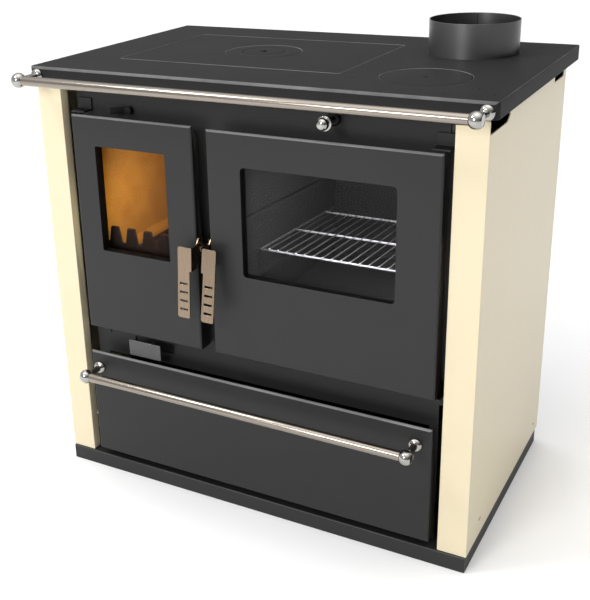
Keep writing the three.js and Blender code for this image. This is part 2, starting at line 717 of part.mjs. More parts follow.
// A handle bent from one strip: a slotted grip in front of the door, a flange along its upper inner edge, and a
// neck that goes back beside the door to hook under the striker's pin. It is made round its own pivot.
function doorHandle(name, door, hinge, pull) {
  const out = -hinge;
  const inner = out * HANDLE.thick;
  const { reach, length, thick, width, step } = HANDLE;
  const slope = Math.tan(THREE.MathUtils.degToRad(HANDLE.lean));
  const [top, shoulder] = [10, -30];
  const frontAt = (z) => -reach - (top - z) * slope;
  const strip = (high, low) =>
    outline([
      [frontAt(high), high],
      [frontAt(high) + thick, high],
      [frontAt(low) + thick, low],
      [frontAt(low), low],
    ]);
  const grip = join(
    prism(strip(top, shoulder), "x", inner, inner - out * width),
    prism(strip(shoulder, top - length), "x", inner - out * step, inner - out * width),
  );
  const slots = [];
  const middle = inner - (out * (width + step)) / 2;
  const across = [middle - GRIP_SLOT.width / 2, middle + GRIP_SLOT.width / 2];
  for (let i = 0; i < GRIP_SLOT.count; i++) {
    const z = GRIP_SLOT.first - GRIP_SLOT.pitch * i;
    slots.push(block(across, [-60, -20], [z - GRIP_SLOT.high / 2, z + GRIP_SLOT.high / 2]));
  }
  const flange = outline([
    [frontAt(shoulder), shoulder],
    [frontAt(top), top],
    [-16, 10],
    [-12, 13],
    [-7, 20],
    [0, 22],
    [6, 18],
    [3, 11],
    [5, 0.2],
    [16, 0.2],
    [16, -8],
    [6, -10],
    [-8, -12],
    [-14, -18],
    [-16, shoulder],
  ]);
  const bore = bar("x", [0, 0, 0], LATCH.pin + GAP, -5, 5);
  const solid = join(cut(grip, ...slots), cut(prism(flange, "x", 0, inner), bore));
  const handle = piece(name, solid, stainless);
  const edge = hinge < 0 ? door.right : door.left;
  handle.position.set(edge + out * GAP, LATCH.y, LATCH.z);
  handle.rotation.x = -THREE.MathUtils.degToRad(pull);
}

// The catch between the doors: a foot on the front plate, a web and a cross pin that both handles hook under.
function latchStriker() {
  const { x, y, z, pin, length } = STRIKER;
  const back = PLATE.front - GAP;
  const foot = block([x - 8, x + 8], [back - SHEET, back], [z - 18, z + 16]);
  const web = block([x - 1.5, x + 1.5], [y - 4, back], [z - 12, z + 10]);
  const cross = bar("x", [0, y, z], pin, x - length / 2, x + length / 2);
  piece("latch_striker", join(foot, web, cross), stainless);
}

function door(prefix, edges, window, hinge, pull) {
  doorPanel(`${prefix}_panel`, edges, window, hinge);
  doorGlass(`${prefix}_glass`, window);
  glassFrame(`${prefix}_glass_frame`, window);
  doorSeal(`${prefix}_seal`, edges);
  latchPin(`${prefix}_latch_pin`, edges, hinge);
  doorHandle(`${prefix}_handle`, edges, hinge, pull);
  hingeBracket(`${prefix}_hinge_top`, edges, hinge, 1);
  hingeBracket(`${prefix}_hinge_bottom`, edges, hinge, -1);
}

door("fire_door", FIRE_DOOR, FIRE_WINDOW, -1, 0);
door("oven_door", OVEN_DOOR, OVEN_WINDOW, 1, HANDLE.pull);
latchStriker();

// ---- Drawer ----------------------------------------------------------------------------------------------------

function drawerBox() {
  const { left, right, bottom, top, back, wall } = BOX;
  const front = DRAWER.back + GAP;
  const tray = block([left, right], [front, back], [bottom, top]);
  const inside = block([left + wall, right - wall], [front + wall, back - wall], [bottom + wall, top + 1]);
  piece("drawer_box", cut(tray, inside), plainSteel);
}

// A folded channel on the plinth that the drawer slides along.
function drawerRunner(name, left) {
  const right = left + RUNNER.width;
  const [low, high] = [floorTop, BOX.bottom - GAP];
  const section = outline([
    [left, low],
    [right, low],
    [right, low + 2],
    [left + 2, low + 2],
    [left + 2, high - 2],
    [right, high - 2],
    [right, high],
    [left, high],
  ]);
  piece(name, prism(section, "y", RUNNER.front, RUNNER.back), plainSteel);
}

piece("drawer_front", pan(DRAWER, { front: DOOR.front, back: DRAWER.back, lip: 10 }), blackPaint);
drawerBox();
drawerRunner("drawer_runner_left", BOX.left + RUNNER.inset);
drawerRunner("drawer_runner_right", BOX.right - RUNNER.inset - RUNNER.width);
rail("drawer_rail", DRAWER_RAIL);
railBracket("drawer_rail_bracket_left", -1, DRAWER_RAIL, DOOR.front);
railBracket("drawer_rail_bracket_right", 1, DRAWER_RAIL, DOOR.front);

// ---- Damper and air controls -------------------------------------------------------------------------------------

// The knob, rod and plate that open the short way to the flue for lighting, and the rod's collar on the plate.
function damper() {
  const { x, z, rod, knob, knobFront } = DAMPER;
  const { port } = BAFFLE;
  const neckEnd = knobFront + 20;
  const knobProfile = [
    [0, knobFront],
    [knob * 0.45, knobFront + 0.6],
    [knob * 0.8, knobFront + 3],
    [knob, knobFront + 7.5],
    [knob, knobFront + 10.5],
    [knob * 0.7, knobFront + 13],
    [5, knobFront + 15],
    [5, neckEnd],
    [0, neckEnd],
  ];
  piece("damper_knob", turned("y", [x, 0, z], knobProfile, 32), chrome);
  const collar = washer(rod + RUN, 11, -9, -GAP);
  piece("damper_collar", turned("y", [x, PLATE.front, z], collar, 32), chrome);
  const tabFront = port.front - 5;
  piece("damper_rod", bar("y", [x, 0, z], rod, neckEnd + GAP, tabFront - GAP), stainless);
  const low = BAFFLE.bottom + SHEET + GAP;
  const half = DAMPER.plate / 2;
  const middleY = (port.front + port.back) / 2;
  const flat = block([x - half, x + half], [middleY - half, middleY + half], [low, low + SHEET]);
  const tab = block([x - 10, x + 10], [middleY - half, middleY - half + SHEET], [low, z + 10]);
  piece("damper_plate", join(flat, tab), plainSteel);
}

// The primary air slide: a plain handle plate in front, joined through the slot to a shutter behind the plate,
// which runs in a channel.
function airSlide() {
  const midX = (BADGE.left + BADGE.right) / 2;
  const midZ = (AIR.bottom + AIR.top) / 2;
  const shutterFront = plateBack + RUN;
  const badgeBack = BADGE.front + BADGE.thick;
  const plate = { ...BADGE, corner: 2 };
  const handle = join(
    prism(roundedRect(plate), "y", BADGE.front, badgeBack),
    block([midX - 3, midX + 3], [badgeBack - 1, shutterFront - GAP], [midZ - 4, midZ + 4]),
  );
  piece("air_slide_handle", handle, blackPaint);
  const [low, high] = [AIR.bottom - 8.5, AIR.top + 8.5];
  const shutter = block([AIR.left - 4, AIR.right + 4], [shutterFront, shutterFront + 2], [low, high]);
  piece("air_shutter", shutter, plainSteel);
  const channelX = [AIR.left - 32, AIR.right + AIR.travel + 15];
  const channelBack = shutterFront + 4.5;
  const channel = cut(
    block(channelX, [plateBack + GAP, channelBack], [low - 3, high + 3]),
    block([-400, 0], [0, shutterFront + 2 + RUN], [low - RUN, high + RUN]),
    block([AIR.left, AIR.right], [0, channelBack + 1], [AIR.bottom, AIR.top]),
  );
  piece("air_slide_channel", channel, plainSteel);
}

// The secondary air lever: an arm on a spindle through the plate, and the flap it turns behind a port that the
// arm hides.
function secondaryAir() {
  const { x, z, boss, high, spindle, port, portInset } = LEVER;
  const armPlan = outline([
    [x, 18.5],
    [x, 21.5],
    [x - 9.5, 21.5],
    [x - 29, 5],
    [x - 29, 1.5],
    [x - 25, 1.5],
    [x - 8, 18.5],
  ]);
  const arm = prism(armPlan, "z", z - high / 2, z + high / 2);
  const hub = bar("y", [x, 0, z], boss, 17, PLATE.front - GAP);
  const shaft = bar("y", [x, 0, z], spindle, 20, plateBack + GAP);
  piece("secondary_air_lever", join(arm, hub, shaft), blackPaint);
  const reach = portInset + port + 2;
  const flap = block([x - reach, x + boss], [plateBack + 2 * GAP, plateBack + 3], [z - boss, z + boss]);
  piece("secondary_air_flap", flap, plainSteel);
}

damper();
airSlide();
secondaryAir();

// ---- The finished stove, centred on its own depth ------------------------------------------------------------------

stove.position.y = -(topBack + RAIL.y - RAIL.ball) / 2;

export default stove;
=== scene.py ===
"""A wood cookstove dressed for its picture: enamelled sides, painted doors, a cast top and bright rails.

Sizes of pieces are the part's own millimetres, with y = 0 at the front face of the side panels. The camera,
the lights and the depths of bumps are in metres.
"""
import math
import bmesh
import bpy
import numpy as np
from mathutils import Matrix


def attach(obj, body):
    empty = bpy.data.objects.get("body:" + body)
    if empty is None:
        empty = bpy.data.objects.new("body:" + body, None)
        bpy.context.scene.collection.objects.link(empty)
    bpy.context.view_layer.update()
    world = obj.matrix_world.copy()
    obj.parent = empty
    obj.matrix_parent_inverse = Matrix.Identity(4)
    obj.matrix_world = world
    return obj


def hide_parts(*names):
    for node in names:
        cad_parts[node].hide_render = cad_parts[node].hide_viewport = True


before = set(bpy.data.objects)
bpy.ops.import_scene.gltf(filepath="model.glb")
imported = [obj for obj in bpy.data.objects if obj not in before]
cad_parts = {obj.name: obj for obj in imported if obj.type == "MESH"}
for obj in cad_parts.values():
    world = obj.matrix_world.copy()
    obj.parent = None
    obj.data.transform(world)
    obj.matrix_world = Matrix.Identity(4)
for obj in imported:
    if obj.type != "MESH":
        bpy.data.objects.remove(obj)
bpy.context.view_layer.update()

# ---- Camera, light and floor ----
# Not part of the stove. The camera stands right of the middle and a little over a metre up, as in the
# photograph, in a white room lit softly from the front left, on a plain pale floor.

scene = bpy.context.scene
scene.view_settings.view_transform = "Standard"


def aim(azimuth, elevation, roll):
    """The turn of a camera that looks back along (azimuth, elevation), rolled about its own line of sight.
    Its back is the unit vector of the two angles, its right lies level, and the roll turns right and up."""
    a, e, r = np.radians([azimuth, elevation, roll])
    back = np.array([np.sin(a) * np.cos(e), -np.cos(a) * np.cos(e), np.sin(e)])
    right = np.array([np.cos(a), np.sin(a), 0.0])
    up = np.cross(back, right)
    turned_right = np.cos(r) * right + np.sin(r) * up
    turned_up = np.cos(r) * up - np.sin(r) * right
    return Matrix(np.stack([turned_right, turned_up, back], axis=1).tolist())


lens = bpy.data.cameras.new("stove_camera")
lens.sensor_width = 36.0
lens.lens = 59.82
lens.shift_x, lens.shift_y = 0.075, -0.075
camera = bpy.data.objects.new("stove_camera", lens)
camera_place = Matrix.Translation((0.745, -1.5109, 1.0488))
camera.matrix_world = camera_place @ aim(azimuth=29.474, elevation=20.835, roll=-1.79).to_4x4()
scene.collection.objects.link(camera)
scene.camera = camera


def softbox(name, place, target, size, power, tint=(1, 1, 1), seen=True):
    """A square area light at a place, turned to a target. One that isn't seen gives light, but shows neither
    to the camera nor in reflections nor through glass."""
    lamp = bpy.data.lights.new(name, "AREA")
    lamp.shape, lamp.size, lamp.energy, lamp.color = "SQUARE", size, power, tint
    light = bpy.data.objects.new(name, lamp)
    away = np.subtract(place, target)
    flat = math.hypot(away[0], away[1])
    turn = aim(math.degrees(math.atan2(away[0], -away[1])), math.degrees(math.atan2(away[2], flat)), 0)
    light.matrix_world = Matrix.Translation(place) @ turn.to_4x4()
    light.visible_camera = light.visible_glossy = light.visible_transmission = seen
    scene.collection.objects.link(light)


softbox("key_light", (-0.7, -3.6, 2.0), (0, 0, 0.45), size=1.0, power=46)
softbox("fold_light", (-1.7, -1.5, 2.9), (0, -0.2, 0.5), size=0.7, power=30)
# Two small ones stand inside the firebox and the oven, only so that the insides show through the glass.
softbox("firebox_light", (-0.16, -0.165, 0.55), (-0.25, 0.08, 0.43), size=0.1, power=0.52,
        tint=(1.0, 0.93, 0.62), seen=False)
softbox("oven_light", (0.2, -0.165, 0.62), (0.13, -0.09, 0.38), size=0.05, power=2.8, seen=False)


def ink(code):
    """A screen colour such as F4EAD0 as linear red, green, blue and alpha, by the standard screen curve."""
    parts = np.array([int(code[i:i + 2], 16) for i in (0, 2, 4)]) / 255
    linear = np.where(parts <= 0.04045, parts / 12.92, ((parts + 0.055) / 1.055) ** 2.4)
    return (*linear.tolist(), 1.0)


def node(tree, kind, inputs=None, **settings):
    """A shader node of one kind in a tree, with its settings and its unlinked inputs."""
    made = tree.nodes.new("ShaderNode" + kind)
    for key, value in settings.items():
        setattr(made, key, value)
    for key, value in (inputs or {}).items():
        made.inputs[key].default_value = value
    return made


def finish_of(name, sockets):
    """A new material with one Principled shader, and the values that are the same all over it."""
    material = bpy.data.materials.new(name)
    material.use_nodes = True
    shader = material.node_tree.nodes["Principled BSDF"]
    for key, value in sockets.items():
        shader.inputs[key].default_value = value
    return material, material.node_tree, shader


# The room's light is the overhead share times the fourth power of the height of the way looked at, plus a
# share that rises from back right to front left. What the camera sees of the room directly is plain white.
OVERHEAD, BACK_RIGHT, FRONT_LEFT = 2.35, -0.045, 0.73
world = bpy.data.worlds.new("white_room")
world.use_nodes = True
tree = world.node_tree
towards = node(tree, "VectorMath", operation="DOT_PRODUCT")
towards.inputs[1].default_value = (-0.8, -0.35, 0.0)
side = node(tree, "MapRange", {"From Min": -1.0, "From Max": 1.0, "To Min": BACK_RIGHT, "To Max": FRONT_LEFT})
parts = node(tree, "SeparateXYZ")
overhead = node(tree, "Math", operation="POWER")
overhead.inputs[1].default_value = 4.0
glow = node(tree, "Math", operation="MULTIPLY_ADD", use_clamp=False)
glow.inputs[1].default_value = OVERHEAD
seen = node(tree, "LightPath")
backdrop = node(tree, "MixRGB")
backdrop.inputs[2].default_value = (0.96, 0.96, 0.96, 1)
way = node(tree, "TexCoord").outputs["Generated"]
tree.links.new(way, towards.inputs[0])
tree.links.new(way, parts.inputs[0])
tree.links.new(towards.outputs["Value"], side.inputs["Value"])
tree.links.new(parts.outputs["Z"], overhead.inputs[0])
tree.links.new(overhead.outputs[0], glow.inputs[0])
tree.links.new(side.outputs["Result"], glow.inputs[2])
tree.links.new(glow.outputs[0], backdrop.inputs[1])
tree.links.new(seen.outputs["Is Camera Ray"], backdrop.inputs[0])
tree.links.new(backdrop.outputs[0], tree.nodes["Background"].inputs["Color"])
scene.world = world

floor_paint, tree, shader = finish_of("floor_paint", {"Roughness": 0.9, "Specular IOR Level": 0.1})
speckle = node(tree, "TexNoise", {"Scale": 3.0, "Detail": 3.0})
tone = node(tree, "MixRGB")
tone.inputs[1].default_value = ink("F6F6F6")
tone.inputs[2].default_value = ink("FAFAFA")
tree.links.new(node(tree, "TexCoord").outputs["Object"], speckle.inputs["Vector"])
tree.links.new(speckle.outputs["Fac"], tone.inputs[0])
tree.links.new(tone.outputs[0], shader.inputs["Base Color"])

bpy.ops.mesh.primitive_plane_add(size=60, location=(0, 0, 0))
floor = bpy.context.object
floor.name = "floor"
floor.data.materials.append(floor_paint)

# ---- Plinth ----
# A shallow tray of sheet steel in dull black paint, upside down on the floor, with its sides folded down. The
# whole stove stands on it.


def effect(name, inputs, outputs):
    """An empty node group with named number inputs and outputs, and its two end nodes."""
    group = bpy.data.node_groups.new(name, "ShaderNodeTree")
    for label, value in inputs.items():
        socket = group.interface.new_socket(name=label, in_out="INPUT", socket_type="NodeSocketFloat")
        socket.default_value = value
    for label in outputs:
        group.interface.new_socket(name=label, in_out="OUTPUT", socket_type="NodeSocketFloat")
    return group, group.nodes.new("NodeGroupInput"), group.nodes.new("NodeGroupOutput")


# Grain is the fine unevenness of paint, enamel and castings, in small grains and in broad soft clouds. It is
# one node group, and each finish gives it its own sizes.
grain_sizes = {"Fine": 900.0, "Broad": 14.0}
grain, start, end = effect("surface_grain", grain_sizes, ["Fine Mask", "Broad Mask", "Height"])
place = node(grain, "TexCoord").outputs["Object"]
fine = node(grain, "TexNoise", {"Detail": 3.0, "Roughness": 0.6})
broad = node(grain, "TexNoise", {"Detail": 4.0, "Roughness": 0.55})
blend = node(grain, "Math", operation="MULTIPLY_ADD")
blend.inputs[1].default_value = 0.35
for texture, size, mask in ((fine, "Fine", "Fine Mask"), (broad, "Broad", "Broad Mask")):
    grain.links.new(place, texture.inputs["Vector"])
    grain.links.new(start.outputs[size], texture.inputs["Scale"])
    grain.links.new(texture.outputs["Fac"], end.inputs[mask])
grain.links.new(broad.outputs["Fac"], blend.inputs[0])
grain.links.new(fine.outputs["Fac"], blend.inputs[2])
grain.links.new(blend.outputs[0], end.inputs["Height"])


def coloured(tree, shader, mask, dull, bright):
    """Base colour that goes from one colour to another with a mask."""
    tone = node(tree, "MixRGB")
    tone.inputs[1].default_value, tone.inputs[2].default_value = ink(dull), ink(bright)
    tree.links.new(mask, tone.inputs[0])
    tree.links.new(tone.outputs[0], shader.inputs["Base Color"])


def spread_to(tree, value, low, high, target):
    """A noise value, which mostly lies between 0.3 and 0.7, stretched to a range and led to a socket."""
    stretch = node(tree, "MapRange", {"From Min": 0.3, "From Max": 0.7, "To Min": low, "To Max": high})
    tree.links.new(value, stretch.inputs["Value"])
    tree.links.new(stretch.outputs["Result"], target)


def bumped(tree, shader, height, depth):
    """A bump of a real depth in metres from a height between 0 and 1."""
    bump = node(tree, "Bump", {"Strength": 1.0, "Distance": depth})
    tree.links.new(height, bump.inputs["Height"])
    tree.links.new(bump.outputs["Normal"], shader.inputs["Normal"])


def painted(name, dull, bright, edge, rough, depth, fine_size=900.0, broad_size=14.0, sockets=None):
    """A paint, enamel or cast skin: two close colours in broad clouds, roughness that follows the fine grain,
    and that grain as a bump. With it comes a lighter copy for its top folds, partly wear and partly a painted
    highlight where light from above catches the folds."""
    finishes = []
    for part, low, high in ((name, dull, bright), (name + "_wear_and_painted_highlight", bright, edge)):
        material, tree, shader = finish_of(part, sockets or {})
        skin = node(tree, "Group", node_tree=grain)
        skin.inputs["Fine"].default_value, skin.inputs["Broad"].default_value = fine_size, broad_size
        coloured(tree, shader, skin.outputs["Broad Mask"], low, high)
        spread_to(tree, skin.outputs["Fine Mask"], rough[0], rough[1], shader.inputs["Roughness"])
        bumped(tree, shader, skin.outputs["Height"], depth)
        finishes.append(material)
    return finishes


def welded(name, cad, bevel, material, slot, body="stove_body", segments=3, filed=None):
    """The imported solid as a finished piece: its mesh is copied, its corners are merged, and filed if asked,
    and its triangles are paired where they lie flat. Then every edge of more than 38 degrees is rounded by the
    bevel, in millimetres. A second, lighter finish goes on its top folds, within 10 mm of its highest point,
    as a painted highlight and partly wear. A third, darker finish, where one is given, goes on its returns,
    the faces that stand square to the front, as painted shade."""
    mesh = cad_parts[cad].data.copy()
    mesh.name = name
    work = bmesh.new()
    work.from_mesh(mesh)
    bmesh.ops.remove_doubles(work, verts=work.verts, dist=1e-5)
    if filed:
        filed(work)
    bmesh.ops.join_triangles(work, faces=work.faces, angle_face_threshold=0.01, angle_shape_threshold=3.1)
    sharpness = math.radians(38)
    sharp = [edge for edge in work.edges if edge.calc_face_angle(0) > sharpness]
    bmesh.ops.bevel(work, geom=sharp, offset=bevel / 1000, offset_type="OFFSET", segments=segments,
                    profile=0.5, affect="EDGES", clamp_overlap=False)
    finishes = len(material) if isinstance(material, list) else 1
    fold_reach = 0.01
    lowest_fold = max(vert.co.z for vert in work.verts) - fold_reach
    for face in work.faces:
        across, deep, up = face.normal
        face.smooth = True
        slopes_up = 0.2 < up < 0.97 and abs(across) < 0.6
        if finishes > 1 and slopes_up and face.calc_center_median().z > lowest_fold:
            face.material_index = 1
        else:
            face.material_index = 2 if finishes > 2 and abs(deep) < 0.3 else 0
    mesh.materials.clear()
    work.to_mesh(mesh)
    work.free()
    piece = bpy.data.objects.new(name, mesh)
    scene.collection.objects.link(piece)
    piece.modifiers.new("flat_faces", "WEIGHTED_NORMAL").keep_sharp = False
    fitted(piece, body, slot, material, cad)


def fitted(piece, body, slot, material, *cad):
    """Gives a finished piece its material and its body, and hides the solids that it stands for. Its slot is
    not used.
    """
    for finish in material if isinstance(material, list) else [material]:
        piece.data.materials.append(finish)
    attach(piece, body)
    if cad:
        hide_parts(*cad)


plinth_paint = painted("plinth_paint", "262626", "2c2c2c", "5a5a5a", rough=(0.5, 0.62), depth=2e-5,
                       sockets={"Specular IOR Level": 0.3})
welded("plinth_tray", "plinth", 1.2, plinth_paint, "plinth_paint")

# ---- Side panels ----
# Folded sheet steel in cream vitreous enamel, which is glossy and a little uneven. Each is screwed to the
# plinth and to the cooktop.

cream_enamel = painted("cream_enamel", "DDD0AF", "E1D4B6", "E8DEC2", rough=(0.3, 0.38), depth=1.5e-6,
                       fine_size=90.0, broad_size=6.0,
                       sockets={"Specular IOR Level": 0.3, "Coat Weight": 0.15, "Coat Roughness": 0.12})
for side in ("left", "right"):
    welded(f"{side}_enamel_panel", f"{side}_side_panel", 0.95, cream_enamel, "cream_enamel", segments=4)

# ---- Back panel and front plate ----
# Plain sheets in heat-proof black paint. The back is screwed to the folds of the side panels, and the front
# plate stands behind the doors and carries their hinges.

black_paint = painted("black_paint", "252525", "292929", "4c4c4c", rough=(0.45, 0.56), depth=1e-5,
                      broad_size=6.0, sockets={"Specular IOR Level": 0.3})
welded("back_sheet", "back_panel", 0.4, black_paint, "black_paint")
welded("front_plate_sheet", "front_plate", 0.4, black_paint, "black_paint")

RAIL_FRONT, COOKTOP_BACK = -62.5, 497
middle_of_depth = (RAIL_FRONT + COOKTOP_BACK) / 2


def at(x, y, z):
    """Millimetres of the part to metres of the frame, which has y = 0 at the middle of the part's depth."""
    return np.stack(np.broadcast_arrays(x, np.subtract(y, middle_of_depth), z), axis=-1) / 1000


def skin(name, points, round_rows=False, round_columns=False, caps=False):
    """A mesh over a grid of points, one face to a cell. A round direction joins its last row or column to its
    first, caps close the two end rows, and points that meet in a pole are merged."""
    index = np.arange(points.shape[0] * points.shape[1]).reshape(points.shape[:2])
    if round_rows:
        index = np.concatenate([index, index[:1]], axis=0)
    if round_columns:
        index = np.concatenate([index, index[:, :1]], axis=1)
    cells = np.stack([index[:-1, :-1], index[1:, :-1], index[1:, 1:], index[:-1, 1:]], axis=-1)
    faces = cells.reshape(-1, 4).tolist()
    if caps:
        faces += [index[0, :points.shape[1]].tolist(), index[-1, :points.shape[1]].tolist()]
    mesh = bpy.data.meshes.new(name)
    mesh.from_pydata(points.reshape(-1, 3).tolist(), [], faces)
    work = bmesh.new()
    work.from_mesh(mesh)
    bmesh.ops.remove_doubles(work, verts=work.verts, dist=1e-6)
    bmesh.ops.recalc_face_normals(work, faces=work.faces)
    for face in work.faces:
        face.smooth = True
    work.to_mesh(mesh)
    work.free()
    piece = bpy.data.objects.new(name, mesh)
    scene.collection.objects.link(piece)
    return piece


def unit(ways):
    """Each row divided by its own length."""
    return ways / np.maximum(np.linalg.norm(ways, axis=1, keepdims=True), 1e-9)


def eased(corners, radius, closed=False):
    """A polyline with its corners eased: each corner is swapped for five points of the parabola that starts
    and ends a radius before and after it, or 0.45 of the shorter side where that is less."""
    p = np.asarray(corners, float)
    before, after = np.roll(p, 1, axis=0), np.roll(p, -1, axis=0)
    reach = np.minimum(np.linalg.norm(before - p, axis=1), np.linalg.norm(after - p, axis=1)) * 0.45
    r = np.minimum(reach, radius)[:, None]
    a, c = p + unit(before - p) * r, p + unit(after - p) * r
    if not closed:
        a[0], c[0], a[-1], c[-1] = p[0], p[0], p[-1], p[-1]
    a, p, c = a[:, None], p[:, None], c[:, None]
    t = np.linspace(0, 1, 5)[None, :, None]
    return ((1 - t) ** 2 * a + 2 * t * (1 - t) * p + t ** 2 * c).reshape(-1, p.shape[2])


def turned(name, axis, centre, profile, radius=0.4, sides=72, closed=False):
    """A profile of (distance from the axis, place along it) in millimetres, with eased corners, carried round
    the axis: across = distance * cos(turn), up = distance * sin(turn)."""
    line = eased(profile, radius, closed=closed)
    turn = np.linspace(0, 2 * np.pi, sides, endpoint=False)[None, :]
    across, up = line[:, :1] * np.cos(turn), line[:, :1] * np.sin(turn)
    along = np.broadcast_to(line[:, 1:], across.shape)
    x, y, z = {"x": (along, across, up), "y": (across, along, up), "z": (across, up, along)}[axis]
    grid = at(centre[0] + x, centre[1] + y, centre[2] + z)
    return skin(name, grid, round_rows=closed, round_columns=True)


def united(name, pieces):
    """Several meshes of one real piece brought together under one name."""
    work = bmesh.new()
    for piece in pieces:
        work.from_mesh(piece.data)
        bpy.data.objects.remove(piece)
    mesh = bpy.data.meshes.new(name)
    work.to_mesh(mesh)
    work.free()
    whole = bpy.data.objects.new(name, mesh)
    scene.collection.objects.link(whole)
    return whole


bright_screw, tree, shader = finish_of("screw_steel", {"Metallic": 1.0})
skin_of_screw = node(tree, "Group", node_tree=grain)
coloured(tree, shader, skin_of_screw.outputs["Fine Mask"], "8c8a86", "b9b7b2")
spread_to(tree, skin_of_screw.outputs["Fine Mask"], 0.3, 0.45, shader.inputs["Roughness"])
pan_head = [(0, 0), (3.4, 0), (3.6, 1.0), (2.6, 2.0), (0, 2.4)]
SCREW_X, BACK_FACE, SCREW_HEIGHTS = 376, 450.7, (60, 280, 500, 715)
screw_places = [(sign * SCREW_X, BACK_FACE, height) for sign in (-1, 1) for height in SCREW_HEIGHTS]
back_screws = [turned(f"screw_{i}", "y", spot, pan_head, sides=20) for i, spot in enumerate(screw_places)]
fitted(united("back_panel_screws", back_screws), "stove_body", "plain_steel", bright_screw)

# ---- Cooktop and its loose plates ----
# One cast-iron plate with a turned-down edge, and the loose castings that lie in its seats: a large plate with
# a ring and a disc over the fire, and a round lid over the oven. All are blacked and rubbed, and a bit sandy.

# Its lighter copy, up to 8c8c8c, goes on the top folds, such as the cooktop's rounded front edge, as a painted
# highlight and partly wear.
cast_skin = painted("cast_top", "282828", "303030", "8c8c8c", rough=(0.42, 0.54), depth=4e-5,
                    fine_size=620.0, broad_size=12.0, sockets={"Specular IOR Level": 0.03})
welded("cooktop_casting", "cooktop", 1.2, cast_skin, "cast_top")
welded("cooking_plate_casting", "cooking_plate", 1.5, cast_skin, "cast_top", "loose_plate")
RING_AT, BURNER_AT, FLUE_AT = (-90, 256, 0), (251, 132, 0), (252.2, 364.2, 0)
UNDERSIDE, STEP, TOP_FACE = 752, 756, 760
ring_section = [(27.9, UNDERSIDE), (56.7, UNDERSIDE), (56.7, STEP), (65.7, STEP), (65.7, TOP_FACE),
                (36.9, TOP_FACE), (36.9, 755.7), (27.9, 755.7)]
ring = turned("cooking_ring_casting", "z", RING_AT, ring_section, 1.3, 128, closed=True)
fitted(ring, "loose_ring", "cast_top", cast_skin, "cooking_ring")
disc_section = [(0, UNDERSIDE), (27.5, UNDERSIDE), (27.5, STEP), (36.5, STEP), (36.5, TOP_FACE),
                (7.2, TOP_FACE), (6.2, 759.2), (4.6, 759.2), (4, TOP_FACE), (3.4, 762), (0, 762.5)]
disc = turned("centre_disc_casting", "z", RING_AT, disc_section, 1.2, 96)
fitted(disc, "loose_disc", "cast_top", cast_skin, "centre_disc")
lid_section = [(0, UNDERSIDE), (68.5, UNDERSIDE), (68.5, TOP_FACE), (5.2, TOP_FACE), (3.5, 759.2),
               (3.5, STEP), (0, STEP)]
lid = turned("burner_lid_casting", "z", BURNER_AT, lid_section, 1.4, 128)
fitted(lid, "loose_lid", "cast_top", cast_skin, "burner_lid")

# A few small dark marks show near the top's edges, taken as the ends of pins that are ground off flush. Soot
# and shade black is bare steel or iron that smoke and handling have darkened; on the returns of the door pans
# and hinge brackets it stands for painted shade.
soot_and_shade_black, tree, shader = finish_of("soot_and_shade_black", {"Specular IOR Level": 0.2})
soot = node(tree, "Group", node_tree=grain)
coloured(tree, shader, soot.outputs["Fine Mask"], "0c0c0c", "161616")
spread_to(tree, soot.outputs["Fine Mask"], 0.4, 0.5, shader.inputs["Roughness"])
mark_section = [(1.4, 759.5), (1.6, 760.3), (3.7, 760.3), (3.9, 759.5)]
mark_places = [(311, 29), (349, 76), (380, 43), (148, 91), (345, 448), (367, 456), (-346, 60), (-12, 24)]
marks = [turned(f"mark_{i}", "z", (x, y, 0), mark_section, 0.1, 20, closed=True)
         for i, (x, y) in enumerate(mark_places)]
fitted(united("cooktop_pin_marks", marks), "stove_body", "cast_top", soot_and_shade_black)

# The flue collar is a short welded tube of blued steel sheet, held by a ring under the cooktop. A bead of
# weld runs up the inside of its seam.
blued_steel, tree, shader = finish_of("blued_steel", {"Metallic": 0.9, "Specular IOR Level": 0.5})
blue_skin = node(tree, "Group", node_tree=grain)
blue_skin.inputs["Fine"].default_value, blue_skin.inputs["Broad"].default_value = 700.0, 22.0
coloured(tree, shader, blue_skin.outputs["Broad Mask"], "5c5c5c", "686868")
spread_to(tree, blue_skin.outputs["Fine Mask"], 0.3, 0.36, shader.inputs["Roughness"])
bumped(tree, shader, blue_skin.outputs["Height"], 2e-5)
collar_section = [(73, 744.7), (82, 744.7), (82, 747.7), (75, 747.7), (75, 816), (73, 816)]
collar = turned("collar_tube", "z", FLUE_AT, collar_section, 0.5, 144, closed=True)
bead_at = (FLUE_AT[0] - 17.6, FLUE_AT[1] + 71.0, 0)
bead_profile = [(0, 746), (1.3, 746), (1.3, 814.8), (0.8, 815.6), (0, 815.7)]
bead = turned("collar_seam", "z", bead_at, bead_profile, 0.4, 16)
fitted(united("flue_collar_tube", [collar, bead]), "stove_body", "black_paint", blued_steel, "flue_collar")

# ---- Round rails ----
# Stainless tubes with a fine satin finish, pushed at each end into a turned, chromed ball. The ball has a
# flat outer end, and a short neck goes back from it to a domed rosette on the face behind.

# Brushed lines are what a polishing belt leaves: noise drawn out along one way and close together across it.
brushed, start, end = effect("brushed_lines", {"Across": 1400.0, "Along": 12.0}, ["Mask", "Height"])
place = node(brushed, "TexCoord").outputs["Object"]
size = node(brushed, "CombineXYZ")
scaled = node(brushed, "VectorMath", operation="MULTIPLY")
lines = node(brushed, "TexNoise", {"Scale": 1.0, "Detail": 3.0, "Roughness": 0.65})
brushed.links.new(start.outputs["Along"], size.inputs["X"])
brushed.links.new(start.outputs["Across"], size.inputs["Y"])
brushed.links.new(start.outputs["Across"], size.inputs["Z"])
brushed.links.new(place, scaled.inputs[0])
brushed.links.new(size.outputs[0], scaled.inputs[1])
brushed.links.new(scaled.outputs[0], lines.inputs["Vector"])
brushed.links.new(lines.outputs["Fac"], end.inputs["Mask"])
brushed.links.new(lines.outputs["Fac"], end.inputs["Height"])

